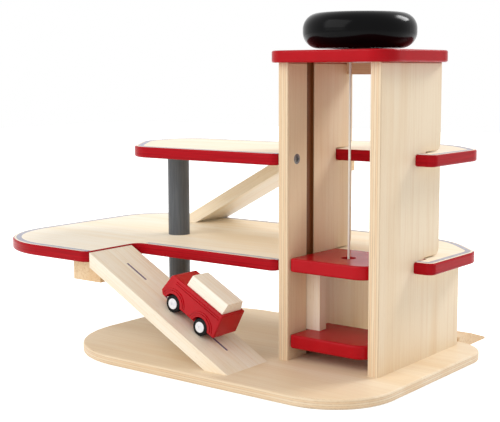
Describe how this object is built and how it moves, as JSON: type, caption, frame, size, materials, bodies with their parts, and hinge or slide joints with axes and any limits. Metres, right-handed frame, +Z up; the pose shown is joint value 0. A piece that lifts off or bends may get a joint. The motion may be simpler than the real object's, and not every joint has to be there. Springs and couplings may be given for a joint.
{
  "type": "toy parking garage with lift",
  "caption": "Wooden toy parking garage: base, two decks joined by ramps, and a tower whose lift is wound up and down on a cord by a big round knob; a small toy truck rolls on the ramp.",
  "frame": {"origin": "centre of the base plate's underside, where it rests on the floor", "axes": "+X from the decks' far end towards the tower's outer side, +Y from the open front of the lift to the back, +Z up"},
  "size_m": [0.526, 0.3431, 0.3616],
  "materials": {
    "birch": "clear matt varnish",
    "red_edged_birch": "clear matt varnish, red satin lacquer on the edges",
    "red_lacquer": "red satin lacquer",
    "grey_lacquer": "dark grey satin lacquer",
    "black_lacquer": "black gloss lacquer",
    "beech": "raw",
    "steel": "zinc plated",
    "cord": "braided",
    "truck_tyre": "matt",
    "truck_hub": "gloss"
  },
  "bodies": {
    "garage": {"base_plate": "birch", "entry_ramp": "birch", "left_side_panel": "birch", "right_side_panel": "birch", "top_rail": "birch", "lower_ramp": "birch", "lower_ramp_block": "birch", "upper_ramp": "birch", "upper_ramp_block": "birch", "mid_deck": "red_edged_birch", "upper_deck": "red_edged_birch", "roof_plate": "red_lacquer", "lower_post": "grey_lacquer", "upper_post": "grey_lacquer", "entry_ramp_dowels": "beech", "mid_post_dowel": "beech", "upper_post_dowel": "beech", "lower_ramp_dowels": "beech", "upper_ramp_dowels": "beech", "roof_dowels": "beech", "base_screws": "steel", "deck_screws": "steel", "ramp_foot_screws": "steel", "block_screws": "steel", "drum_washer": "steel", "knob_axle": "steel", "axle_nut": "steel", "lift_cord": "cord"},
    "winch_knob": {"knob": "black_lacquer", "cord_drum": "beech", "cord_winding": "cord", "hub_cap": "black_lacquer"},
    "lift_car": {"car_floor_plate": "red_lacquer", "car_top_plate": "red_lacquer", "car_left_guide": "birch", "car_right_guide": "birch", "car_dowels": "beech", "cord_knot": "cord"},
    "truck": {"truck_body": "red_lacquer", "cargo_block": "birch", "truck_chassis": "red_lacquer"},
    "truck_front_wheels": {"front_axle": "steel", "front_left_tyre": "truck_tyre", "front_right_tyre": "truck_tyre", "front_left_hub": "truck_hub", "front_right_hub": "truck_hub"},
    "truck_rear_wheels": {"rear_axle": "steel", "rear_left_tyre": "truck_tyre", "rear_right_tyre": "truck_tyre", "rear_left_hub": "truck_hub", "rear_right_hub": "truck_hub"}
  },
  "joints": [
    {"name": "knob_turn", "type": "hinge", "parent": "garage", "child": "winch_knob", "pos_m": [0.106, 0.016, 0.344], "axis": [0, 0, 1], "range_deg": [-47.72, 695.06]},
    {"name": "lift_travel", "type": "slide", "parent": "garage", "child": "lift_car", "axis": [0, 0, 1], "range_m": [-0.01275, 0.1851], "deforming": ["lift_cord"]},
    {"name": "truck_roll", "type": "slide", "parent": "garage", "child": "truck", "axis": [-0.8788, 0, 0.4772], "range_m": [-0.048, 0.095]},
    {"name": "front_wheel_spin", "type": "hinge", "parent": "truck", "child": "truck_front_wheels", "pos_m": [-0.04176, -0.087, 0.06726], "axis": [0, -1, 0], "range_deg": [-300, 590]},
    {"name": "rear_wheel_spin", "type": "hinge", "parent": "truck", "child": "truck_rear_wheels", "pos_m": [-0.00573, -0.087, 0.04769], "axis": [0, -1, 0], "range_deg": [-300, 590]}
  ],
  "couplings": [
    {"joint": "lift_travel", "follows": "knob_turn", "m_per_rad": 0.01525},
    {"joint": "front_wheel_spin", "follows": "truck_roll", "rad_per_m": 107.53},
    {"joint": "rear_wheel_spin", "follows": "truck_roll", "rad_per_m": 107.53}
  ]
}
